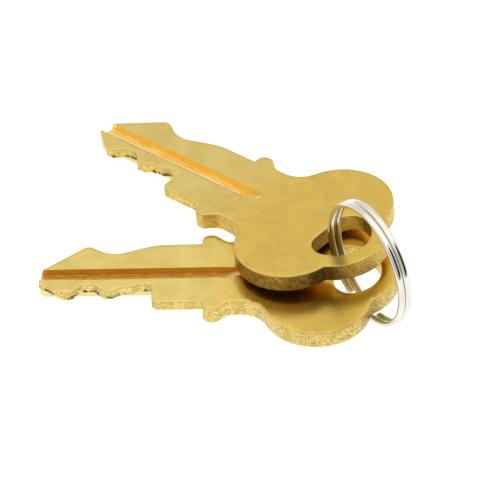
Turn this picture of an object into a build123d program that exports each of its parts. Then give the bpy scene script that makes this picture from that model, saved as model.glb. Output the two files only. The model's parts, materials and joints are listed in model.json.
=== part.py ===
from build123d import *
import math
import os

# Two flat brass door keys, cut alike, on one nickel-plated two-turn split ring.
# All lengths are in millimetres and +Z is up. The table that the set lies on is Z = 0.
#
# A key is drawn in its own frame: X runs along its middle line from the shoulder stop
# towards the bow, Y points to the smooth back of the blade, and Z = 0 is its underside.

# --- key blank ---------------------------------------------------------------------
THICKNESS = 2.38
TIP_BACK = (-21.65, 0.85)         # the two corners of the slanted nose
TIP_FRONT = (-21.97, -1.1)
BACK_EDGE = 5.68                  # smooth back of the blade, from the middle line
FLANGE_EDGE = -5.86               # front of the wide flange beside the shoulder
STEP_X = -6.8                     # where the wide flange gives way to the cuts
REBATE_Y = -1.8                   # wall of the long rebate milled along the underside
REBATE_DEPTH = 1.03
NOSE_RADIUS = 1.15                # front corner of the thin nose under the rebate

# --- key groove --------------------------------------------------------------------
GROOVE_BACK = 1.0
GROOVE_FRONT = -1.05
GROOVE_DEPTH = 1.0
GROOVE_DRAFT = 0.15               # how far the steep back wall leans
GROOVE_RISE = 0.5                 # width of the slope up to the front edge
CUTTER_RADIUS = 9.3               # of the disc that leaves the curved run-out
GROOVE_STRAIGHT_END = 1.45

# --- bow ---------------------------------------------------------------------------
BUMP_EDGE = 7.38                  # shoulder bumps, each side
BUMP_TOP_END = 1.75
NECK_START = 3.4
NECK_EDGE = 6.0
NECK_RADIUS = 3.8                 # hollow curve from the neck to a side lobe
SIDE_LOBE_X = 15.3
SIDE_LOBE_Y = 5.23
SIDE_LOBE_RADIUS = 7.4
END_LOBE_X = 19.15
END_LOBE_RADIUS = 7.25
CUSP_RADIUS = 0.3                 # between a side lobe and the end lobe
HOLE_X = 19.45
HOLE_RADIUS = 4.65
HOLE_FLAT_X = 17.6                # the flat side of the D-shaped hanging hole
HOLE_CORNER = 2.35

# --- split ring --------------------------------------------------------------------
RING_RADIUS = 8.55                # to the middle of the wire
WIRE_RADIAL = 0.74
WIRE_AXIAL = 0.94
COIL_GAP = 0.05                   # between the two turns
WIRE_CORNER = 0.32
JOG_ANGLE = 34.0                  # arc over which the wire crosses between its turns
JOG_SECTIONS = 9
JOG_START = 350.0                 # position of the crossing, round the ring from its foot

# --- how the set lies --------------------------------------------------------------
# The lower key rests on its nose and on the wire, which passes under its bow. The upper
# key is fanned out over it, with its nose on the table. Places are measured from the
# lower key's shoulder stop, and the whole set is centred on the origin at the end.
LOWER_PITCH = 1.3                 # bow end up, degrees
UPPER_XY = (3.51, 15.85)          # the upper key's shoulder stop
UPPER_YAW = -40.46
UPPER_PITCH = 6.03
RING_XY = (22.29, -4.80)          # middle of the ring
RING_YAW = 33.0                   # of the ring's axis
RING_HEIGHT = RING_RADIUS + WIRE_RADIAL / 2


def rounded_face(corners):
    """A flat face whose corners are given as (x, y, radius)."""
    points = [(x, y) for x, y, _ in corners]
    radii = [radius for _, _, radius in corners]
    return make_face(FilletPolyline(*points, radius=radii, close=True))


def blade_back():
    """The smooth back of the blade, from the shoulder to the nose."""
    return [
        (0, BACK_EDGE, 0),
        (-6.2, 5.65, 8.0),
        (-12.2, 3.6, 4.0),
        (-15.32, 5.7, 1.2),
        (*TIP_BACK, 0.1),
    ]


def upper_blade():
    """The top of the blade: the cut edge, the step and the wide flange."""
    front = [
        (*TIP_FRONT, 0.1),
        (-18.75, -3.6, 0.7),
        (-17.6, -3.6, 0.4),
        (-16.2, -2.3, 0.4),
        (-14.6, -2.15, 0.5),
        (-13.1, -3.55, 0.4),
        (-12.1, -3.55, 0.4),
        (-10.9, -2.85, 0.3),
        (-9.4, -2.7, 0.3),
        (-8.5, -2.2, 0.3),
        (STEP_X, -2.25, 0.15),
        (STEP_X, FLANGE_EDGE, 0.9),
        (0, FLANGE_EDGE, 0),
    ]
    return rounded_face(blade_back() + front)


def lower_blade():
    """The underside of the blade, behind the rebate, with the nose carried straight on to it."""
    lean = (TIP_FRONT[0] - TIP_BACK[0]) / (TIP_FRONT[1] - TIP_BACK[1])
    front = [
        (TIP_BACK[0] + lean * (REBATE_Y - TIP_BACK[1]), REBATE_Y, NOSE_RADIUS),
        (0, REBATE_Y, 0),
    ]
    return rounded_face(blade_back() + front)


def bow():
    """Bumps, neck and three lobes, alike on both sides of the middle line."""
    reach = SIDE_LOBE_RADIUS + NECK_RADIUS
    rise = NECK_EDGE + NECK_RADIUS - SIDE_LOBE_Y
    neck_x = SIDE_LOBE_X - math.sqrt(reach**2 - rise**2)
    meet_x = SIDE_LOBE_X - SIDE_LOBE_RADIUS * (SIDE_LOBE_X - neck_x) / reach
    meet_y = SIDE_LOBE_Y + SIDE_LOBE_RADIUS * rise / reach
    half = rounded_face([
        (0, 0, 0),
        (0, BUMP_EDGE, 1.1),
        (BUMP_TOP_END, BUMP_EDGE, 0.8),
        (NECK_START, NECK_EDGE, 1.4),
        (meet_x, NECK_EDGE, 0),
        (meet_x, meet_y, 0),
        (SIDE_LOBE_X, meet_y, 0),
        (SIDE_LOBE_X, 0, 0),
    ])
    hollow = Pos(neck_x, NECK_EDGE + NECK_RADIUS) * Circle(NECK_RADIUS)
    beside_neck = Pos((neck_x + meet_x) / 2, NECK_EDGE + NECK_RADIUS) * Rectangle(
        meet_x - neck_x, 2 * NECK_RADIUS)
    fill = Pos((neck_x + meet_x) / 2, (NECK_EDGE + meet_y) / 2) * Rectangle(
        meet_x - neck_x, meet_y - NECK_EDGE)
    half = half + fill - (hollow & beside_neck)
    half = half + Pos(SIDE_LOBE_X, SIDE_LOBE_Y) * Circle(SIDE_LOBE_RADIUS)
    whole = half + mirror(half, about=Plane.XZ)
    whole = whole + Pos(END_LOBE_X, 0) * Circle(END_LOBE_RADIUS)
    cusps = [v for v in whole.vertices() if v.X > END_LOBE_X and abs(v.Y) > HOLE_RADIUS]
    return fillet(cusps, CUSP_RADIUS)


def hanging_hole():
    """A circle cut off by a flat on the side of the blade, with rounded corners."""
    disc = Pos(HOLE_X, 0) * Circle(HOLE_RADIUS)
    cut = disc & Pos(HOLE_FLAT_X + HOLE_RADIUS, 0) * Rectangle(2 * HOLE_RADIUS, 4 * HOLE_RADIUS)
    return fillet(cut.vertices(), HOLE_CORNER)


def groove():
    """The milled groove: a straight run from the nose and the cutter's curved run-out."""
    profile = make_face(Polyline(
        (GROOVE_BACK, 0),
        (GROOVE_BACK - GROOVE_DRAFT, -GROOVE_DEPTH),
        (GROOVE_FRONT + GROOVE_RISE, -GROOVE_DEPTH),
        (GROOVE_FRONT, 0),
        (GROOVE_FRONT, 1),
        (GROOVE_BACK, 1),
        close=True,
    ))
    section = Plane(origin=(GROOVE_STRAIGHT_END, 0, THICKNESS), x_dir=(0, 1, 0), z_dir=(1, 0, 0))
    start = section * profile
    straight = extrude(start, amount=TIP_FRONT[0] - GROOVE_STRAIGHT_END - 2)
    cutter = Axis((GROOVE_STRAIGHT_END, 0, THICKNESS + CUTTER_RADIUS - GROOVE_DEPTH), (0, -1, 0))
    return straight + revolve(start, axis=cutter, revolution_arc=45)


def key():
    """One key in its own frame."""
    top = extrude(upper_blade() + bow(), amount=THICKNESS - REBATE_DEPTH)
    bottom = extrude(lower_blade() + bow(), amount=REBATE_DEPTH)
    hole = extrude(hanging_hole(), amount=THICKNESS)
    return Pos(0, 0, REBATE_DEPTH) * top + bottom - groove() - hole


def wire_section(angle, shift):
    """The wire's cross-section at an angle round the ring, shifted along the ring's axis."""
    plane = Plane(origin=(0, 0, 0), x_dir=(1, 0, 0), z_dir=(0, 1, 0)).rotated((0, 0, angle))
    return plane * Pos(RING_RADIUS, -shift) * RectangleRounded(WIRE_RADIAL, WIRE_AXIAL, WIRE_CORNER)


def split_ring():
    """Two flat turns of one wire, with a short crossing between them. Its axis is Z."""
    offset = (WIRE_AXIAL + COIL_GAP) / 2
    turn = 360 - JOG_ANGLE
    first = revolve(wire_section(JOG_ANGLE, -offset), axis=Axis.Z, revolution_arc=turn)
    second = revolve(wire_section(JOG_ANGLE, offset), axis=Axis.Z, revolution_arc=turn)
    sections = []
    for i in range(JOG_SECTIONS):
        part = i / (JOG_SECTIONS - 1)
        ease = part * part * (3 - 2 * part)
        sections.append(wire_section(JOG_ANGLE * part, -offset + 2 * offset * ease))
    crossing = loft(sections)
    return Rot(0, 0, JOG_START) * (first + crossing + second)


def key_place(xy, yaw, pitch):
    """Where a key lies: its nose is on the table and its bow is raised by the pitch."""
    height = -TIP_FRONT[0] * math.sin(math.radians(pitch))
    return Pos(*xy, height) * Rot(0, 0, yaw) * Rot(0, -pitch, 0)


def main():
    one_key = key()
    ring_place = Pos(*RING_XY, RING_HEIGHT) * Rot(0, 0, RING_YAW) * Rot(0, 90, 0)
    upper_place = key_place(UPPER_XY, UPPER_YAW, UPPER_PITCH)
    nodes = {
        "key_lower": key_place((0, 0), 0, LOWER_PITCH) * one_key,
        "key_upper": upper_place * one_key,
        "split_ring": ring_place * split_ring(),
    }
    boxes = [node.bounding_box() for node in nodes.values()]
    mid_x = (min(box.min.X for box in boxes) + max(box.max.X for box in boxes)) / 2
    mid_y = (min(box.min.Y for box in boxes) + max(box.max.Y for box in boxes)) / 2
    centre = Pos(-mid_x, -mid_y, -min(box.min.Z for box in boxes))
    os.makedirs("parts", exist_ok=True)
    for name, node in nodes.items():
        export_step(centre * node, f"parts/{name}.step")
    ring_axis = Plane(centre * ring_place)
    fan_axis = Plane(centre * upper_place)
    print("ring centre", ring_axis.origin, "axis", ring_axis.z_dir)
    print("upper key stop", fan_axis.origin, "its flat face looks along", fan_axis.z_dir)


main()
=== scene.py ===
import json
import math

import bmesh
import bpy
import numpy as np
from mathutils.geometry import delaunay_2d_cdt
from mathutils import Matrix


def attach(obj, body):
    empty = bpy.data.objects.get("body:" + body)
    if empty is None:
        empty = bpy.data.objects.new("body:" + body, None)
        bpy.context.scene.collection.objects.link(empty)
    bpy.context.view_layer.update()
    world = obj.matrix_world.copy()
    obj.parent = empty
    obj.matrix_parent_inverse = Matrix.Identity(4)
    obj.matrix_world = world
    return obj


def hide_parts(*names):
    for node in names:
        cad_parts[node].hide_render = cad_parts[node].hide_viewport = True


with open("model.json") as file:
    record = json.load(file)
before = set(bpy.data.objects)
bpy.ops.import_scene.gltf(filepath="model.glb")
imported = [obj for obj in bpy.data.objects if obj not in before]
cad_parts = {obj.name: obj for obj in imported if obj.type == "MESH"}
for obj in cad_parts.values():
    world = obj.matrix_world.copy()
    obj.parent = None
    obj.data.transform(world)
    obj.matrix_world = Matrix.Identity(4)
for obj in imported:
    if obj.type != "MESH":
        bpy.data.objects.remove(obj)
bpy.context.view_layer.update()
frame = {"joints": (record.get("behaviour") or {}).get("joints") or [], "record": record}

# Two brass door keys, cut alike, on one nickel-plated two-turn split ring.
# Shapes are worked out in millimetres in a piece's own frame and laid down in metres by
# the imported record: a key's X runs along its middle line from the shoulder stop towards
# the bow, its Y points to the smooth back of the blade, and Z = 0 is its underside.
MM = 0.001

# --- key blank ---------------------------------------------------------------------
THICKNESS = 2.38
TIP_BACK = (-21.65, 0.85)
TIP_FRONT = (-21.97, -1.1)
BACK_EDGE = 5.68
FLANGE_EDGE = -5.86
STEP_X = -6.8
REBATE_Y = -1.8
REBATE_DEPTH = 1.03
NOSE_RADIUS = 1.15
TIP_RADIUS = 0.12
BACK_CORNERS = [(0, BACK_EDGE, 0), (-6.2, 5.65, 8.0), (-12.2, 3.6, 4.0), (-15.32, 5.7, 1.2)]
SLOPE_END = (-18.75, -3.6)        # foot of the nose's slope, where the first cut begins
CUT_CORNERS = [
    (*SLOPE_END, 0.7), (-17.6, -3.6, 0.4), (-16.2, -2.3, 0.4), (-14.6, -2.15, 0.5),
    (-13.1, -3.55, 0.4), (-12.1, -3.55, 0.4), (-10.9, -2.85, 0.3), (-9.4, -2.7, 0.3),
    (-8.5, -2.2, 0.3), (STEP_X, -2.25, 0.15), (STEP_X, FLANGE_EDGE, 0.9), (0, FLANGE_EDGE, 0),
]
BUMP_EDGE = 7.38
BUMP_TOP_END = 1.75
NECK_START = 3.4
NECK_EDGE = 6.0
NECK_RADIUS = 3.8
SIDE_LOBE = np.array((15.3, 5.23))
SIDE_LOBE_RADIUS = 7.4
END_LOBE = np.array((19.15, 0.0))
END_LOBE_RADIUS = 7.25
CUSP_RADIUS = 0.3
HOLE_X = 19.45
HOLE_RADIUS = 4.65
HOLE_FLAT_X = 17.6
HOLE_CORNER = 2.35

# --- key groove --------------------------------------------------------------------
GROOVE_BACK = 1.0
GROOVE_FRONT = -1.05
GROOVE_DEPTH = 1.0
GROOVE_DRAFT = 0.15
GROOVE_RISE = 0.5
CUTTER_RADIUS = 9.3
GROOVE_STRAIGHT_END = 1.45
GROOVE_END = GROOVE_STRAIGHT_END + math.sqrt(2 * CUTTER_RADIUS * GROOVE_DEPTH - GROOVE_DEPTH**2)

# --- split ring --------------------------------------------------------------------
RING_RADIUS = 8.55
WIRE_RADIAL = 0.74
WIRE_AXIAL = 0.94
COIL_GAP = 0.05
JOG_ANGLE = 34.0
JOG_START = 350.0
WIRE_ROUNDNESS = 2.6              # exponent of the wire's section: 2 is an oval

# --- fineness of the meshes and of the worked edges ----------------------------------
PATH_STEP = 0.13
CAP_STEP = 0.6
TOP_ROUND = 0.10
BOTTOM_ROUND = 0.05
SHEAR_RELIEF = 0.030              # how deep the torn part of a sheared wall is
CUT_RELIEF = 0.050                # the same on the machined cuts
LEVEL_ROWS = 9
WIRE_SECTIONS = 760
WIRE_SIDES = 36
WIRE_END_ROUND = 0.32
EDGE_CLEARANCE = 0.45             # of CAP_STEP: how near to an edge a spread point may lie
STILL_REACH = 0.35                # over this length a wall's relief fades in from its still points
NOISE_CELLS = 24
KEY_WELD = 2e-4
RING_WELD = 1e-4
SHARP_ANGLE = math.radians(38)


# === outlines ========================================================================

def unit(vector):
    """The vector divided by its length."""
    return vector / np.linalg.norm(vector)


def arc(centre, radius, start, end):
    """Points at centre + radius * (cos a, sin a), for evenly spaced angles a."""
    count = max(4, int(abs(end - start) * radius / PATH_STEP) + 2)
    angle = np.linspace(start, end, count)
    return np.column_stack([centre[0] + radius * np.cos(angle), centre[1] + radius * np.sin(angle)])


def turn_between(first, last):
    """The shortest turn from one angle to another."""
    return (last - first + math.pi) % (2 * math.pi) - math.pi


def heading(vector):
    """The angle of a vector."""
    return math.atan2(vector[1], vector[0])


def rounded(corners):
    """Straight runs through corners (x, y, radius), each corner an arc tangent to both runs."""
    runs = [np.array([corners[0][:2]])]
    for before, (x, y, radius), after in zip(corners, corners[1:], corners[2:]):
        corner = np.array((x, y))
        if radius == 0:
            runs.append(corner[None])
            continue
        back = unit(np.array(before[:2]) - corner)
        ahead = unit(np.array(after[:2]) - corner)
        half = 0.5 * math.acos(float(back @ ahead))
        centre = corner + unit(back + ahead) * radius / math.sin(half)
        reach = radius / math.tan(half)
        first = heading(corner + back * reach - centre)
        last = heading(corner + ahead * reach - centre)
        runs.append(arc(centre, radius, first, first + turn_between(first, last)))
    runs.append(np.array([corners[-1][:2]]))
    return np.vstack(runs)


def even(path):
    """The same path with its long straight runs divided, so that no run is over the step."""
    pieces = []
    for start, end in zip(path, path[1:]):
        count = max(1, math.ceil(np.linalg.norm(end - start) / PATH_STEP))
        share = np.linspace(0, 1, count, endpoint=False)[:, None]
        pieces.append(start + (end - start) * share)
    pieces.append(path[-1:])
    return np.vstack(pieces)


def joined(*paths):
    """Paths one after another as a closed loop: an end that repeats the next start is dropped."""
    return np.vstack([path[:-1] for path in paths])


def nose_corner():
    """The circle that rounds the lower level's front corner, and the angle where its arc begins."""
    lean = (TIP_FRONT[0] - TIP_BACK[0]) / (TIP_FRONT[1] - TIP_BACK[1])
    corner = np.array((TIP_BACK[0] + lean * (REBATE_Y - TIP_BACK[1]), REBATE_Y))
    back = unit(np.array(TIP_BACK) - corner)
    half = 0.5 * math.acos(back[0])
    centre = corner + unit(back + (1, 0)) * NOSE_RADIUS / math.sin(half)
    return centre, heading(corner + back * NOSE_RADIUS / math.tan(half) - centre)


def crossings(centre):
    """Where the slope of the upper level goes into that circle and where it comes out again."""
    tip = np.array(TIP_FRONT)
    slope = unit(np.array(SLOPE_END) - tip)
    middle = (centre - tip) @ slope
    aside = centre - tip - slope * middle
    half = math.sqrt(NOSE_RADIUS**2 - aside @ aside)
    return tip + slope * (middle - half), tip + slope * (middle + half)


def nose_arcs():
    """That arc in three lengths, split where the upper level's slope goes in and comes out."""
    centre, begin = nose_corner()
    turns = [begin] + [heading(point - centre) % (2 * math.pi) for point in crossings(centre)]
    return [arc(centre, NOSE_RADIUS, a, b) for a, b in zip(turns, turns[1:] + [1.5 * math.pi])]


def blade_back():
    """The smooth back of the blade and the slanted nose, which both levels of the key share."""
    return even(rounded(BACK_CORNERS + [(*TIP_BACK, TIP_RADIUS), (*nose_arcs()[0][0], 0)]))


def cut_edge():
    """The upper level from the nose: the cuts, the step and the wide flange."""
    first, second, third = nose_arcs()
    tip = [(*first[0], 0), (*TIP_FRONT, TIP_RADIUS), (*second[0], 0), (*third[0], 0)]
    return even(rounded(tip + CUT_CORNERS))


def rebate_edge():
    """The lower level from the nose: its rounded corner, the rebate's wall and its end."""
    first, second, third = nose_arcs()
    return even(np.vstack([first, second[1:], third[1:], [(0, REBATE_Y), (0, FLANGE_EDGE)]]))


def half_bow(edge):
    """From the shoulder at y = edge: bump, neck, side lobe, cusp and end lobe to the middle line."""
    reach = SIDE_LOBE_RADIUS + NECK_RADIUS
    neck = np.array((0, NECK_EDGE + NECK_RADIUS))
    neck[0] = SIDE_LOBE[0] - math.sqrt(reach**2 - (neck[1] - SIDE_LOBE[1])**2)
    to_lobe = heading(SIDE_LOBE - neck)
    side = SIDE_LOBE_RADIUS + CUSP_RADIUS
    end = END_LOBE_RADIUS + CUSP_RADIUS
    apart = np.linalg.norm(SIDE_LOBE - END_LOBE)
    along = unit(END_LOBE - SIDE_LOBE)
    across = np.array((-along[1], along[0]))
    forward = (side**2 - end**2 + apart**2) / (2 * apart)
    cusp = SIDE_LOBE + along * forward + across * math.sqrt(side**2 - forward**2)
    cusp_in = heading(SIDE_LOBE - cusp)
    cusp_out = heading(END_LOBE - cusp)
    shoulder = rounded([
        (0, edge, 0), (0, BUMP_EDGE, 1.1), (BUMP_TOP_END, BUMP_EDGE, 0.8),
        (NECK_START, NECK_EDGE, 1.4), (neck[0], NECK_EDGE, 0),
    ])
    hollow = arc(neck, NECK_RADIUS, -math.pi / 2, to_lobe)
    side_lobe = arc(SIDE_LOBE, SIDE_LOBE_RADIUS, to_lobe + math.pi, heading(cusp - SIDE_LOBE))
    notch = arc(cusp, CUSP_RADIUS, cusp_in, cusp_in + turn_between(cusp_in, cusp_out))
    end_lobe = arc(END_LOBE, END_LOBE_RADIUS, heading(cusp - END_LOBE), 0.0)
    return even(np.vstack([shoulder, hollow[1:], side_lobe[1:], notch[1:], end_lobe[1:]]))


def bow_loop():
    """Round the bow from the front shoulder to the back one."""
    front = half_bow(-FLANGE_EDGE) * (1, -1)
    return np.vstack([front, half_bow(BACK_EDGE)[::-1][1:]])


def hole_loop():
    """The D-shaped hanging hole, clockwise: a circle, two rounded corners and a flat side."""
    corner_x = HOLE_FLAT_X + HOLE_CORNER
    corner_y = math.sqrt((HOLE_RADIUS - HOLE_CORNER)**2 - (corner_x - HOLE_X)**2)
    meet = math.atan2(corner_y, corner_x - HOLE_X)
    circle = arc((HOLE_X, 0), HOLE_RADIUS, -meet, meet)
    upper = arc((corner_x, corner_y), HOLE_CORNER, meet, math.pi)
    lower = arc((corner_x, -corner_y), HOLE_CORNER, math.pi, 2 * math.pi - meet)
    return joined(even(np.vstack([circle, upper[1:], lower])))[::-1]


def outward(loop):
    """Unit normals of a loop, to the right of the way it runs, from its neighbours' chord."""
    chord = np.roll(loop, -1, axis=0) - np.roll(loop, 1, axis=0)
    chord /= np.linalg.norm(chord, axis=1)[:, None]
    return np.column_stack([chord[:, 1], -chord[:, 0]])


def inside(points, loop):
    """Which points lie in a loop: those whose ray towards +X crosses it an odd number of times."""
    x, y = points[:, :1], points[:, 1:]
    ax, ay = loop[:, 0], loop[:, 1]
    bx, by = np.roll(ax, -1), np.roll(ay, -1)
    spans = (ay > y) != (by > y)
    rise = np.where(by == ay, 1.0, by - ay)
    return (spans & (x < (bx - ax) * (y - ay) / rise + ax)).sum(axis=1) % 2 == 1


def gap_to(points, others):
    """The distance from each point to the nearest of the others."""
    return np.sqrt(((points[:, None] - others[None])**2).sum(axis=2).min(axis=1))


# === surfaces ========================================================================

def cloud(rng, points, scale):
    """Smooth noise from 0 to 1: a wrapped table of random numbers, eased between its cells."""
    table = rng.random((NOISE_CELLS, NOISE_CELLS, NOISE_CELLS))
    place = points * scale
    cell = np.floor(place).astype(int)
    part = place - cell
    part = part * part * (3 - 2 * part)
    total = 0.0
    for corner in np.ndindex(2, 2, 2):
        index = (cell + corner) % NOISE_CELLS
        weight = np.where(np.array(corner) == 1, part, 1 - part).prod(axis=-1)
        total = total + weight * table[index[..., 0], index[..., 1], index[..., 2]]
    return total


def groove_depth(points):
    """Depth of the groove: its section, less the rise of the cutter's circle past the straight."""
    x, y = points[..., 0], points[..., 1]
    past = np.maximum(x - GROOVE_STRAIGHT_END, 0)
    back = np.clip((GROOVE_BACK - y) / GROOVE_DRAFT, 0, 1)
    front = np.clip((y - GROOVE_FRONT) / GROOVE_RISE, 0, 1)
    rim = CUTTER_RADIUS - GROOVE_DEPTH
    radius = rim + GROOVE_DEPTH * np.minimum(back, front)
    return np.maximum(np.sqrt(np.maximum(radius**2 - past**2, 0)) - rim, 0)


def groove_lines():
    """The groove's two top edges and two feet, which draw in as the cutter rises."""
    x = np.concatenate([
        np.arange(TIP_BACK[0] + 0.5, GROOVE_STRAIGHT_END, 0.4),
        np.linspace(GROOVE_STRAIGHT_END, GROOVE_END, 22),
    ])
    past = np.maximum(x - GROOVE_STRAIGHT_END, 0)
    rim = CUTTER_RADIUS - GROOVE_DEPTH
    share = (np.sqrt(rim**2 + past**2) - rim) / GROOVE_DEPTH
    edges = (
        GROOVE_BACK - GROOVE_DRAFT * share,
        np.full_like(x, GROOVE_BACK - GROOVE_DRAFT),
        np.full_like(x, GROOVE_FRONT + GROOVE_RISE),
        GROOVE_FRONT + GROOVE_RISE * share,
    )
    return [np.column_stack([x, y]) for y in edges]


def triangles(loops, lines=(), fill=None):
    """Fills closed loops, holding to lines and spread points, and drops what lies in later loops."""
    points, edges, start = [], [], 0
    for path, closed in [(loop, True) for loop in loops] + [(line, False) for line in lines]:
        count = len(path)
        index = np.arange(start, start + count)
        pairs = np.column_stack([index, np.roll(index, -1)])
        edges.append(pairs if closed else pairs[:-1])
        points.append(path)
        start += count
    if fill is not None:
        points.append(fill)
    flat = np.vstack(points)
    found, _, faces, *_ = delaunay_2d_cdt(flat.tolist(), np.vstack(edges).tolist(), [], 1, 1e-5)
    found = np.array(found)
    faces = np.array(faces)
    middle = found[faces].mean(axis=1)
    keep = inside(middle, loops[0])
    for hole in loops[1:]:
        keep &= ~inside(middle, hole)
    return found, faces[keep]


def spread(loop, hole, lines):
    """A staggered field of points inside the loop and clear of every edge."""
    low, high = loop.min(axis=0), loop.max(axis=0)
    x, y = np.meshgrid(np.arange(low[0], high[0], CAP_STEP), np.arange(low[1], high[1], CAP_STEP))
    x = x + (np.arange(len(x)) % 2)[:, None] * CAP_STEP / 2
    points = np.column_stack([x.ravel(), y.ravel()])
    points = points[inside(points, loop) & ~inside(points, hole)]
    edges = np.vstack([loop, hole, *lines])
    return points[gap_to(points, edges) > EDGE_CLEARANCE * CAP_STEP]


def band_faces(height, width):
    """Four-sided faces of a closed band of rows: (row, i), (row + 1, i), (row + 1, i + 1), (row, i + 1)."""
    index = np.arange(height * width).reshape(height, width)
    ahead = np.roll(index, -1, axis=1)
    return np.stack([index[:-1], index[1:], ahead[1:], ahead[:-1]], axis=-1).reshape(-1, 4)


class Shell:
    """Collects sheets of vertices and faces, with how far each vertex is on a wall or an edge."""

    def __init__(self):
        self.points, self.faces, self.wall, self.rim = [], [], [], []
        self.count = 0

    def add(self, points, faces, wall, rim):
        """Adds a sheet; wall and rim are one number, or one a vertex."""
        self.points.append(points)
        self.faces += (faces + self.count).tolist()
        self.wall.append(np.broadcast_to(wall, len(points)))
        self.rim.append(np.broadcast_to(rim, len(points)))
        self.count += len(points)

    def band(self, rows, wall, rim):
        """A closed band: row after row of one loop, joined by four-sided faces."""
        height, width = rows.shape[:2]
        faces = band_faces(height, width)
        self.add(rows.reshape(-1, 3), faces, np.repeat(wall, width), np.repeat(rim, width))


def round_over(radius):
    """Inset and drop of the rows over a rounded edge: radius * (1 - sin a, 1 - cos a)."""
    angle = np.radians((0, 30, 60, 90))
    return radius * (1 - np.sin(angle)), radius * (1 - np.cos(angle))


def relief(rng_seed, loop, z, still):
    """Outward offset of a wall: a torn lower part, slanted shear streaks and chatter on the cuts."""
    rng = np.random.default_rng(rng_seed)
    spot = np.concatenate([np.broadcast_to(loop, z.shape + (2,)), z[..., None]], axis=-1)
    slanted = spot + np.array((0.6, 0.3, 0.0)) * spot[..., 2:]
    streak = cloud(rng, slanted, (3.1, 3.1, 0.8)) - 0.5
    fine = cloud(rng, spot, (5.2, 5.2, 2.6)) - 0.5
    broad = cloud(rng, spot, (0.5, 0.5, 0.4)) - 0.5
    torn = np.clip((0.62 * THICKNESS + 0.5 * broad - z) / 0.25, 0, 1)
    on_cut = (spot[..., 0] < STEP_X + 0.1) & (spot[..., 1] < 0)
    depth = SHEAR_RELIEF * (0.45 * streak + torn * (fine - 0.35))
    depth = depth + np.where(on_cut, CUT_RELIEF * (streak + 0.6 * broad), 0)
    return depth * np.clip(gap_to(loop, still) / STILL_REACH, 0, 1)


def wall_rows(loop, normal, inset, z, offset):
    """Rows of a wall: the loop pushed along its normal by the offset less the inset, at height z."""
    push = (offset - inset)[..., None]
    flat = loop[None] + normal[None] * push
    return np.concatenate([flat, z[..., None]], axis=-1)


def splits(path, marks):
    """Indices of a path's first point, of its points nearest to the marks, and of its last point."""
    nearest = [int(np.argmin(gap_to(path, mark[None]))) for mark in marks]
    return [0] + nearest + [len(path) - 1]


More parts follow.
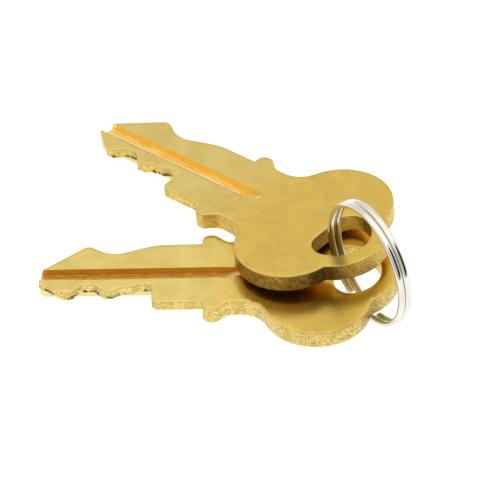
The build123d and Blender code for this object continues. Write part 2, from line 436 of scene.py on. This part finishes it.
def key_shell(seed):
    """One key: walls at two levels, two faces, the rebate's shelf and the hanging hole."""
    shared = blade_back()
    upper_front = cut_edge()
    lower_front = rebate_edge()
    bow = bow_loop()
    first, second, third = nose_arcs()
    passed = [second[0], third[0]]
    still = np.vstack([first, second, [(0, FLANGE_EDGE)]])
    upper = joined(shared, upper_front, bow)
    lower = joined(shared, lower_front, bow)
    hole = hole_loop()
    shell = Shell()
    inset, drop = round_over(TOP_ROUND)
    edge_wall = np.array((0, 0.35, 0.7, 1.0))
    edge_rim = np.array((0, 1.0, 1.0, 0.5))
    level = np.linspace(1, 0, LEVEL_ROWS)[1:, None]

    def top_rows(loop, floor):
        """From the rounded top edge down to the floor level; the groove's end lowers the top."""
        normal = outward(loop)
        around = loop[None] - normal[None] * inset[:, None, None]
        top = THICKNESS - groove_depth(around) - drop[:, None]
        z = np.vstack([top, floor + (top[-1] - floor) * level])
        insets = np.concatenate([inset, np.zeros(len(level))])[:, None]
        offset = relief(seed, loop, z, still)
        offset[0] = 0
        rows = wall_rows(loop, normal, insets, z, offset)
        rows[0, :, 2] = THICKNESS - groove_depth(rows[0])
        wall = np.concatenate([edge_wall, np.ones(len(level))])
        rim = np.concatenate([edge_rim, np.zeros(len(level))])
        shell.band(rows, wall, rim)
        return rows

    def bottom_rows(loop, ceiling):
        """From the ceiling level down to the rounded bottom edge."""
        normal = outward(loop)
        bottom_inset, bottom_drop = round_over(BOTTOM_ROUND)
        z = np.concatenate([
            np.linspace(ceiling, BOTTOM_ROUND, LEVEL_ROWS - 2)[:-1],
            bottom_drop[::-1],
        ])[:, None] * np.ones(len(loop))
        straight = len(z) - len(bottom_inset)
        insets = np.concatenate([np.zeros(straight), bottom_inset[::-1]])[:, None]
        offset = relief(seed, loop, z, still)
        offset[-1] = 0
        rows = wall_rows(loop, normal, insets, z, offset)
        wall = np.concatenate([np.ones(straight), edge_wall[::-1]])
        rim = np.concatenate([np.zeros(straight), 0.5 * edge_rim[::-1]])
        shell.band(rows, wall, rim)
        return rows

    upper_rows = top_rows(upper, REBATE_DEPTH)
    lower_rows = bottom_rows(lower, REBATE_DEPTH)
    hole_top = top_rows(hole, REBATE_DEPTH)
    hole_bottom = bottom_rows(hole, REBATE_DEPTH)

    top_loop, top_hole = upper_rows[0, :, :2], hole_top[0, :, :2]
    lines = []
    for line in groove_lines():
        ends = top_loop[top_loop[:, 0] < TIP_BACK[0] + 1]
        away = np.abs(ends - line[0])
        start = ends[np.argmin(away[:, 1] + 0.01 * away[:, 0])]
        lines.append(np.vstack([start[None], line]))
    points, faces = triangles([top_loop, top_hole], lines, spread(top_loop, top_hole, lines))
    height = THICKNESS - groove_depth(points)
    shell.add(np.column_stack([points, height]), faces, 0.0, 0.0)

    low_loop, low_hole = lower_rows[-1, :, :2], hole_bottom[-1, :, :2]
    points, faces = triangles([low_loop, low_hole], (), spread(low_loop, low_hole, []))
    shell.add(np.column_stack([points, np.zeros(len(points))]), faces, 0.0, 0.0)

    shelf_top, shelf_low = upper_rows[-1, :, :2], lower_rows[0, :, :2]
    nose = len(shared) - 1
    top_part = shelf_top[nose:nose + len(upper_front)]
    low_part = shelf_low[nose:nose + len(lower_front)]
    top_cut, low_cut = splits(top_part, passed), splits(low_part, passed)
    for i in range(len(passed) + 1):
        out = top_part[top_cut[i]:top_cut[i + 1] + 1]
        home = low_part[low_cut[i] + 1:low_cut[i + 1]][::-1]
        points, faces = triangles([np.vstack([out, home])])
        shell.add(np.column_stack([points, np.full(len(points), REBATE_DEPTH)]), faces, 1.0, 0.0)
    return shell


def put_scalar(mesh, name, values):
    """Stores one number a vertex under a name that a material can read."""
    mesh.attributes.new(name, "FLOAT", "POINT").data.foreach_set("value", values.astype(np.float32))


def put_vector(mesh, name, values):
    """Stores one vector a vertex under a name that a material can read."""
    layer = mesh.attributes.new(name, "FLOAT_VECTOR", "POINT")
    layer.data.foreach_set("vector", values.astype(np.float32).ravel())


def coordinates(mesh):
    """A mesh's vertices as one array."""
    found = np.empty(len(mesh.vertices) * 3, np.float32)
    mesh.vertices.foreach_get("co", found)
    return found.reshape(-1, 3).astype(float)


def weld(mesh, apart):
    """Joins vertices nearer than a distance, and turns every face of the closed shell outwards."""
    work = bmesh.new()
    work.from_mesh(mesh)
    bmesh.ops.remove_doubles(work, verts=work.verts, dist=apart)
    bmesh.ops.recalc_face_normals(work, faces=work.faces)
    work.to_mesh(mesh)
    work.free()


def lay_down(name, mesh, axes, origin, material):
    """Carries a mesh from its own millimetre frame to its place: origin + own coordinates on axes."""
    own = coordinates(mesh)
    put_vector(mesh, "own", own)
    placed = np.asarray(origin) + own * MM @ np.asarray(axes)
    mesh.vertices.foreach_set("co", placed.astype(np.float32).ravel())
    mesh.shade_smooth()
    mesh.set_sharp_from_angle(angle=SHARP_ANGLE)
    mesh.materials.append(material)
    mesh.update()
    piece = bpy.data.objects.new(name, mesh)
    bpy.context.scene.collection.objects.link(piece)
    return piece


def key_frame(mount_name):
    """A key's axes and stop: X against its blade mount's axis, Y level, Z square to both."""
    blade = next(m for m in frame["record"]["mounts"] if m["name"] == mount_name)
    x = unit(-np.array(blade["axis"]))
    y = unit(np.cross((0, 0, 1), x))
    z = np.cross(x, y)
    return (x, y, z), np.array(blade["pos_m"]) - z * THICKNESS / 2 * MM


def make_key(name, node, body, mount_name, seed, material):
    """One finished key in place of its CAD node."""
    shell = key_shell(seed)
    mesh = bpy.data.meshes.new(name)
    mesh.from_pydata(np.vstack(shell.points).tolist(), [], shell.faces)
    put_scalar(mesh, "wall", np.concatenate(shell.wall))
    put_scalar(mesh, "rim", np.concatenate(shell.rim))
    weld(mesh, KEY_WELD)
    axes, stop = key_frame(mount_name)
    piece = lay_down(name, mesh, axes, stop, material)
    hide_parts(node)
    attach(piece, body)
    return piece


def wire_profile(count):
    """The wire's section: a softened rectangle |r|^p + |a|^p = 1, stretched to the wire's sizes."""
    angle = np.linspace(0, 2 * math.pi, count, endpoint=False)
    out, side = np.cos(angle), np.sin(angle)
    size = (np.abs(out)**WIRE_ROUNDNESS + np.abs(side)**WIRE_ROUNDNESS)**(-1 / WIRE_ROUNDNESS)
    return size * out * WIRE_RADIAL / 2, size * side * WIRE_AXIAL / 2


def make_ring(name, node, body, material):
    """Two turns of one wire, carried round the ring's axis, that cross over in an eased step."""
    joint = next(j for j in frame["joints"] if j["name"] == "ring_turn")
    axis = unit(np.array(joint["axis"]))
    level = np.cross((0, 0, 1), axis)
    turn = np.linspace(JOG_ANGLE, 720, WIRE_SECTIONS)
    end = np.sin(np.linspace(0, math.pi / 2, 7))
    cap = math.degrees(WIRE_END_ROUND / RING_RADIUS)
    turn = np.concatenate([turn[0] + cap * (1 - end[::-1]), turn[1:-1], turn[-1] - cap * (1 - end)])
    turn = np.sort(turn)
    into = np.minimum((turn - turn[0]) / cap, (turn[-1] - turn) / cap)
    scale = np.sqrt(np.clip(1 - (1 - np.clip(into, 0, 1))**2, 0, 1))
    step = np.clip((turn - 360) / JOG_ANGLE, 0, 1)
    aside = (WIRE_AXIAL + COIL_GAP) * (step * step * (3 - 2 * step) - 0.5)
    radial, axial = wire_profile(WIRE_SIDES)
    angle = np.radians(turn + JOG_START)[:, None]
    reach = RING_RADIUS + scale[:, None] * radial
    rows = np.stack([
        reach * np.cos(angle), reach * np.sin(angle), aside[:, None] + scale[:, None] * axial,
    ], axis=-1)
    height, width = rows.shape[:2]
    mesh = bpy.data.meshes.new(name)
    mesh.from_pydata(rows.reshape(-1, 3).tolist(), [], band_faces(height, width).tolist())
    along = np.repeat(np.radians(turn) * RING_RADIUS, width)
    around = np.tile(np.linspace(0, 1, width, endpoint=False), height)
    round_it = 2 * math.pi * around
    put_vector(mesh, "wire", np.column_stack([along, np.cos(round_it), np.sin(round_it)]))
    weld(mesh, RING_WELD)
    piece = lay_down(name, mesh, (np.array((0, 0, -1.0)), level, axis), joint["pos_m"], material)
    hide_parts(node)
    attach(piece, body)
    return piece


# === materials =======================================================================

# linear colours of the two metals
BLADE_FACE = (0.79, 0.62, 0.205, 1)
BOW_FACE = (0.78, 0.53, 0.105, 1)
FACE_MOTTLE = (0.67, 0.465, 0.10, 1)
FACE_PALE = (0.86, 0.70, 0.28, 1)
FACE_GRAIN = (0.54, 0.38, 0.09, 1)
# painted shade: darker brown for the bow's face towards its end
BOW_END_PAINTED_SHADE = (0.60, 0.40, 0.065, 1)
FACE_STAIN = (0.46, 0.33, 0.09, 1)
WALL_BROWN = (0.50, 0.30, 0.045, 1)
# painted glints and painted shade: pale specks and dark pit specks for the torn walls
PAINTED_WALL_GLINT = (0.98, 0.88, 0.45, 1)
PAINTED_PIT_SHADE = (0.18, 0.095, 0.012, 1)
WALL_PATCH = (0.42, 0.24, 0.03, 1)
# painted shade: dark brown for the bow's front walls, standing in for the shade that they mirror
PAINTED_BOW_WALL_SHADE = (0.20, 0.105, 0.016, 1)
CUSP_SHADE = (0.035, 0.018, 0.006, 1)
CRACK = (0.05, 0.024, 0.006, 1)
# painted reflection: pale yellow for the lower level's wall on the cuts, as if mirroring the white table
LOW_WALL_PAINTED_REFLECTION = (0.98, 0.86, 0.42, 1)
BURR = (0.18, 0.11, 0.03, 1)
WORN_EDGE = (0.97, 0.86, 0.52, 1)
LIP_SHADE = (0.13, 0.08, 0.03, 1)
NICKEL_COOL = (0.84, 0.82, 0.76, 1)
NICKEL_WARM = (0.76, 0.73, 0.63, 1)


class Wire:
    """A socket of a node tree. Arithmetic on it adds Math nodes; make adds any other node."""

    def __init__(self, tree, socket=None):
        self.tree = tree
        self.socket = socket

    def make(self, kind, settings=None, sockets=None, output=0):
        """Adds a node, applies its settings, fills or links its sockets, and gives an output."""
        made = self.tree.nodes.new("ShaderNode" + kind)
        for name, value in (settings or {}).items():
            setattr(made, name, value)
        for name, value in (sockets or {}).items():
            if isinstance(value, Wire):
                self.tree.links.new(value.socket, made.inputs[name])
            else:
                made.inputs[name].default_value = value
        return Wire(self.tree, made.outputs[output] if made.outputs else None)

    def maths(self, operation, first, second):
        """One Math node on two values."""
        return self.make("Math", {"operation": operation}, {0: first, 1: second})

    def __add__(self, other):
        return self.maths("ADD", self, other)

    def __radd__(self, other):
        return self.maths("ADD", other, self)

    def __sub__(self, other):
        return self.maths("SUBTRACT", self, other)

    def __rsub__(self, other):
        return self.maths("SUBTRACT", other, self)

    def __mul__(self, other):
        return self.maths("MULTIPLY", self, other)

    def __rmul__(self, other):
        return self.maths("MULTIPLY", other, self)

    def __truediv__(self, other):
        return self.maths("DIVIDE", self, other)

    def step(self, low, high):
        """An eased step from 0 at low to 1 at high, or the other way round where low is higher."""
        falling = low > high
        return self.make("MapRange", {"interpolation_type": "SMOOTHSTEP"}, {
            "Value": self, "From Min": min(low, high), "From Max": max(low, high),
            "To Min": 1.0 if falling else 0.0, "To Max": 0.0 if falling else 1.0,
        })

    def plus(self, other):
        """The sum of two vectors."""
        return self.make("VectorMath", {"operation": "ADD"}, {0: self, 1: other})

    def blend(self, first, second):
        """Two colours mixed by this value: first at 0, second at 1."""
        return self.make("Mix", {"data_type": "RGBA"}, {0: self, 6: first, 7: second}, 2)

    def noise(self, scale, detail=3.0, stretch=(1, 1, 1), roughness=0.55):
        """Noise over this vector, stretched."""
        laid = self.make("Mapping", {}, {"Vector": self, "Scale": stretch})
        return self.make("TexNoise", {}, {
            "Vector": laid, "Scale": scale, "Detail": detail, "Roughness": roughness,
        })

    def bump(self, strength, distance):
        """A Normal that this height raises."""
        return self.make("Bump", {}, {"Height": self, "Strength": strength, "Distance": distance})


def new_material(name):
    """An empty material and the start of its tree."""
    material = bpy.data.materials.new(name)
    material.use_nodes = True
    material.node_tree.nodes.clear()
    return material, Wire(material.node_tree)


def attribute(tree, name, output):
    """An attribute of the mesh: output 1 is its vector and 2 its number."""
    return tree.make("Attribute", {"attribute_name": name}, {}, output)


def finish_metal(tree, colour, roughness, normal, settings=None):
    """A metal surface shader on the material's output."""
    sockets = {"Base Color": colour, "Roughness": roughness, "Normal": normal, "Metallic": 1.0}
    sockets.update(settings or {})
    shader = tree.make("BsdfPrincipled", {}, sockets)
    tree.make("OutputMaterial", {}, {"Surface": shader})


def part_of(vector, output):
    """One coordinate of a vector."""
    return vector.make("SeparateXYZ", {}, {"Vector": vector}, output)


# The share argument weights the painted shade on the bow's front walls; one minus it weights the painted
# shade on the bow's face.
def brass(name, seed, wall_shade_share, bright, groove_wall, groove_floor):
    """Satin brass: mottled, finely grained faces, a milled groove, and torn and streaked walls."""
    material, tree = new_material(name)
    own = attribute(tree, "own", 1)
    wall = attribute(tree, "wall", 2)
    rim = attribute(tree, "rim", 2)
    x, y, z = part_of(own, 0), part_of(own, 1), part_of(own, 2)
    moved = own.plus((seed * 7.3, seed * 3.1, seed * 1.7))
    slanted = moved.plus(z.make("CombineXYZ", {}, {"X": z * 0.9, "Y": z * 0.6, "Z": 0.0}))

    mottle = moved.noise(0.28, 4.0)
    blotch = moved.noise(0.75, 3.0)
    grain = moved.noise(7.0, 3.0, (1.0, 1.6, 1.0))
    combed = moved.noise(2.6, 3.0, (2.6, 0.25, 1.0))
    streak = slanted.noise(3.6, 5.0, (1.5, 1.5, 0.4), 0.65)
    sparkle = moved.noise(9.0, 3.0, (1.0, 1.0, 0.9), 0.7)
    patch = moved.noise(0.55, 3.0, (1.0, 1.0, 0.5))
    milled = moved.noise(2.2, 3.0, (0.22, 5.0, 5.0))

    top = z.step(THICKNESS - 0.06, THICKNESS - 0.02)
    in_groove = (1 - top) * (1 - wall) * z.step(0.5, 0.9)
    on_bow = x.step(-3.0, 9.0)
    on_cut = x.step(STEP_X + 0.3, STEP_X) * y.step(0.0, -1.0)

    face = on_bow.blend(BLADE_FACE, BOW_FACE)
    face = (mottle.step(0.35, 0.68) * 0.5).blend(face, FACE_MOTTLE)
    face = (blotch.step(0.45, 0.75) * 0.25).blend(face, FACE_PALE)
    face = (grain.step(0.5, 0.72) * 0.25).blend(face, FACE_GRAIN)
    # Painted shade: the bow's face darkens towards its end, most on the lower key, for the shade of the
    # other key lying over it.
    face = (x.step(9.0, 17.0) * 0.42 * (1 - wall_shade_share)).blend(face, BOW_END_PAINTED_SHADE)
    stain = moved.noise(0.42, 3.0).step(0.62, 0.74)
    face = (stain * 0.28).blend(face, FACE_STAIN)

    side = streak.step(0.36, 0.60).blend(WALL_BROWN, bright)
    # Painted glints where the fine noise is high and painted shade in pits where it is low.
    side = (sparkle.step(0.56, 0.74) * 0.55).blend(side, PAINTED_WALL_GLINT)
    side = (sparkle.step(0.40, 0.28) * 0.7).blend(side, PAINTED_PIT_SHADE)
    side = (patch.step(0.50, 0.62) * 0.3).blend(side, WALL_PATCH)
    # Painted shade on the bow's front walls: darker from 7.5 mm on, less past 23.5 mm and darker still at
    # the cusp; the share argument sets how much each key gets.
    bow_wall_shade = y.step(1.5, -1.5) * x.step(7.5, 15.0) * (0.72 + 0.5 * streak.step(0.62, 0.42))
    bow_wall_shade = bow_wall_shade * (1 - 0.45 * x.step(23.5, 26.0))
    cusp = y.step(-3.0, -5.5) * x.step(21.3, 22.3) * x.step(25.2, 23.0)
    side = (bow_wall_shade * wall_shade_share).blend(side, PAINTED_BOW_WALL_SHADE)
    side = (cusp * wall_shade_share * 0.85).blend(side, CUSP_SHADE)
    crack = patch.step(0.47, 0.55) * z.step(REBATE_DEPTH, REBATE_DEPTH + 0.1)
    crack = crack * z.step(1.75, 1.35) * on_cut
    side = (crack * streak.step(0.62, 0.48)).blend(side, CRACK)
    # Painted reflection: the lower level's wall just under the rebate on the cuts is made pale, as if
    # mirroring the white table.
    under = z.step(REBATE_DEPTH - 0.02, REBATE_DEPTH - 0.06) * on_cut
    side = (under * 0.65).blend(side, LOW_WALL_PAINTED_REFLECTION)

    # Painted light and shade in the groove: a lit floor and a shaded steep back wall, in colours set for
    # each key.
    channel = milled.step(0.3, 0.7).blend(groove_wall, groove_floor)
    ground = z.step(THICKNESS - GROOVE_DEPTH + 0.12, THICKNESS - GROOVE_DEPTH + 0.02)
    slope = y.step(GROOVE_FRONT + GROOVE_RISE + 0.25, GROOVE_FRONT + GROOVE_RISE - 0.1)
    channel = (slope * (0.35 + 0.65 * milled.step(0.40, 0.55))).blend(channel, groove_floor)
    steep = y.step(GROOVE_BACK - 0.30, GROOVE_BACK - GROOVE_DRAFT) * (1 - ground)
    channel = (steep * 0.85).blend(channel, groove_wall)
    colour = in_groove.blend(face, channel)
    colour = wall.blend(colour, side)

    burr = rim * streak.step(0.50, 0.60)
    colour = (burr * 0.6).blend(colour, BURR)
    worn = rim * streak.step(0.46, 0.36)
    colour = (worn * 0.6).blend(colour, WORN_EDGE)
    lip = y.step(GROOVE_FRONT - 0.13, GROOVE_FRONT - 0.05) * y.step(GROOVE_FRONT + 0.08, GROOVE_FRONT)
    lip = lip * x.step(GROOVE_END - 1.6, GROOVE_END - 2.6) * x.step(-19.0, -18.0)
    lip = lip * combed.step(0.36, 0.50) * z.step(1.8, 2.2)
    colour = (lip * 0.85).blend(colour, LIP_SHADE)

    roughness = 0.16 + 0.07 * mottle + 0.05 * grain + 0.10 * wall + 0.05 * (1 - top)
    height = grain * 0.5 + combed * 0.35 + blotch * 0.3
    height = (1 - wall) * height + in_groove * milled * 1.2 + wall * (streak * 2.6 + sparkle * 2.2)
    normal = height.bump(0.30, 0.00006)
    finish_metal(tree, colour, roughness, normal, {"IOR": 1.5})
    return material


def nickel(name):
    """Bright nickel plate: nearly a mirror, with faint drawing lines along the wire."""
    material, tree = new_material(name)
    wire = attribute(tree, "wire", 1)
    drawn = wire.noise(2.0, 3.0, (0.12, 4.0, 4.0))
    cloudy = wire.noise(0.6, 3.0, (0.5, 1.0, 1.0))
    colour = cloudy.step(0.35, 0.7).blend(NICKEL_COOL, NICKEL_WARM)
    roughness = 0.075 + 0.06 * cloudy + 0.03 * drawn
    normal = drawn.bump(0.10, 0.00003)
    finish_metal(tree, colour, roughness, normal)
    return material


# === studio ==========================================================================

CAMERA_TILT = math.radians(47.83)
CAMERA_DISTANCE = 1.6203
CAMERA_LENS = 900.15
SENSOR_WIDTH = 36
VIEW_CENTRE = (0.002093, 0.000650, 0.0)
FLOOR_HALF = 0.9
FLOOR_GREY = (0.25, 0.25, 0.25, 1)
FLOOR_GLOW = 0.88
CARD_WAY = (0.914, -0.407)        # level direction towards the middle of the black card
TENT_LIGHT = 0.82
OVERHEAD_LIGHT = 0.36
RIGHT_LIGHT = 0.15
FRONT_LOSS = 0.30
CARD_LOSS = 0.98
TENT_WHITE = (1.0, 0.995, 0.975, 1)


def camera():
    """A long lens from the front, looking down along +Y at the middle of the set."""
    lens = bpy.data.cameras.new("camera")
    lens.sensor_width = SENSOR_WIDTH
    lens.lens = CAMERA_LENS
    eye = bpy.data.objects.new("camera", lens)
    back = CAMERA_DISTANCE * math.sin(CAMERA_TILT)
    eye.location = (VIEW_CENTRE[0], VIEW_CENTRE[1] - back, CAMERA_DISTANCE * math.cos(CAMERA_TILT))
    eye.rotation_euler = (CAMERA_TILT, 0, 0)
    bpy.context.scene.collection.objects.link(eye)
    bpy.context.scene.camera = eye


def floor():
    """A plain white sheet, lit a little from below as on a light table."""
    mesh = bpy.data.meshes.new("floor")
    ends = [(-FLOOR_HALF, -FLOOR_HALF, 0), (FLOOR_HALF, -FLOOR_HALF, 0),
            (FLOOR_HALF, FLOOR_HALF, 0), (-FLOOR_HALF, FLOOR_HALF, 0)]
    mesh.from_pydata(ends, [], [(0, 1, 2, 3)])
    material, tree = new_material("floor_white")
    shader = tree.make("BsdfPrincipled", {}, {
        "Base Color": FLOOR_GREY, "Roughness": 0.9,
        "Emission Color": (1, 1, 1, 1), "Emission Strength": FLOOR_GLOW,
    })
    tree.make("OutputMaterial", {}, {"Surface": shader})
    mesh.materials.append(material)
    sheet = bpy.data.objects.new("floor", mesh)
    bpy.context.scene.collection.objects.link(sheet)


def surroundings():
    """A white tent, brighter overhead and dimmer in front, with a black card at the front right."""
    world = bpy.data.worlds.new("tent")
    world.use_nodes = True
    world.node_tree.nodes.clear()
    tree = Wire(world.node_tree)
    way = tree.make("TexCoord", {}, {}, 0)
    x, y, z = part_of(way, 0), part_of(way, 1), part_of(way, 2)
    level = x * x + y * y
    facing = (CARD_WAY[0] * x + CARD_WAY[1] * y) / (level.maths("POWER", level, 0.5) + 0.001)
    card = facing.step(0.915, 0.975) * z.step(0.86, 0.76) * z.step(-0.05, 0.03)
    front = y.step(-0.2, -0.6) * z.step(0.85, 0.65)
    light = TENT_LIGHT + OVERHEAD_LIGHT * z.step(0.45, 0.90) + RIGHT_LIGHT * x.step(0.2, 0.8)
    light = light * (1 - FRONT_LOSS * front) * (1 - CARD_LOSS * card)
    shade = tree.make("Background", {}, {"Color": TENT_WHITE, "Strength": light})
    tree.make("OutputWorld", {}, {"Surface": shade})
    bpy.context.scene.world = world


camera()
floor()
surroundings()
bpy.context.scene.view_settings.view_transform = "Standard"

# One brass, painted lit and shaded for each key: the bright wall tone and the groove colours differ as
# painted light and shade, with the upper key's groove floor lit and the lower key's groove shaded.
lower_key_brass = brass(
    "brass_lower", seed=1, wall_shade_share=0.15, bright=(0.95, 0.79, 0.29, 1),
    groove_wall=(0.60, 0.30, 0.030, 1), groove_floor=(0.90, 0.74, 0.34, 1),
)
upper_key_brass = brass(
    "brass_upper", seed=2, wall_shade_share=0.80, bright=(0.90, 0.69, 0.19, 1),
    groove_wall=(0.98, 0.60, 0.085, 1), groove_floor=(1.0, 0.98, 0.74, 1),
)
make_key("lower_key", "key_lower", "lower_key", "lower_key_blade", 11, lower_key_brass)
make_key("upper_key", "key_upper", "upper_key", "upper_key_blade", 23, upper_key_brass)
make_ring("ring_wire", "split_ring", "ring", nickel("nickel_plate"))


def corners(box):
    """A box as plain numbers."""
    return [[float(value) for value in corner] for corner in box]
